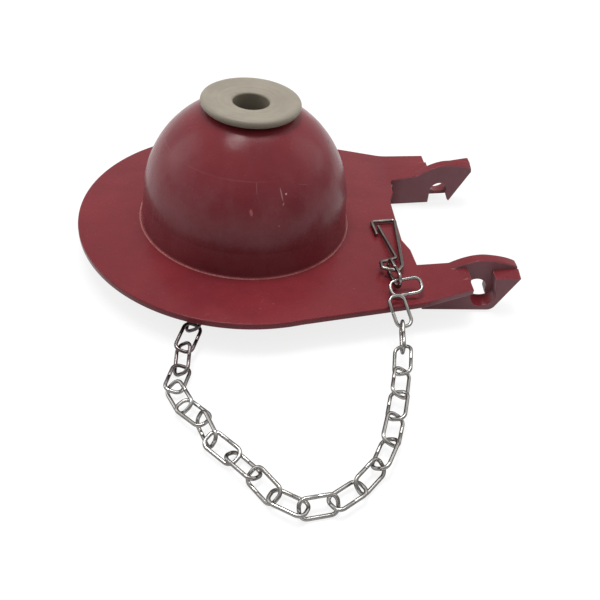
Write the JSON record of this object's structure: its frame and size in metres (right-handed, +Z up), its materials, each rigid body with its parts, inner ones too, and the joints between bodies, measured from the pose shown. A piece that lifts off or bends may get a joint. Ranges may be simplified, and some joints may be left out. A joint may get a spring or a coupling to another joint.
{
  "type": "toilet flapper",
  "caption": "Red rubber toilet flapper lying bulb up: sealing disc with hollow bulb and pale plug, two hanging ears, and a steel chain ending in a wire snap",
  "frame": {"origin": "on the axis of the bulb, at the flat bottom of the boss under it, on which the flapper lies", "axes": "+Z runs up the axis of the bulb, out of the sealing face; +X points from the bulb to the two ears; +Y lies across the ears, along the ear axis, away from the laid chain"},
  "size_m": [0.1056, 0.1236, 0.0393],
  "materials": {
    "red_rubber": "semi-gloss",
    "plug_nylon": "satin",
    "chain_wire": "bright drawn wire",
    "snap_wire": "dull drawn wire"
  },
  "bodies": {
    "root": {"flapper_body": "red_rubber", "bulb_plug": "plug_nylon", "wire_snap": "snap_wire", "chain_link_01": "chain_wire", "chain_link_02": "chain_wire", "chain_link_03": "chain_wire", "chain_link_04": "chain_wire", "chain_link_05": "chain_wire", "chain_link_06": "chain_wire", "chain_link_07": "chain_wire", "chain_link_08": "chain_wire", "chain_link_09": "chain_wire", "chain_link_10": "chain_wire", "chain_link_11": "chain_wire", "chain_link_12": "chain_wire", "chain_link_13": "chain_wire", "chain_link_14": "chain_wire", "chain_link_15": "chain_wire", "chain_link_16": "chain_wire", "chain_link_17": "chain_wire", "chain_link_18": "chain_wire", "chain_link_19": "chain_wire", "chain_link_20": "chain_wire", "chain_link_21": "chain_wire", "chain_link_22": "chain_wire", "chain_link_23": "chain_wire"}
  },
  "joints": []
}
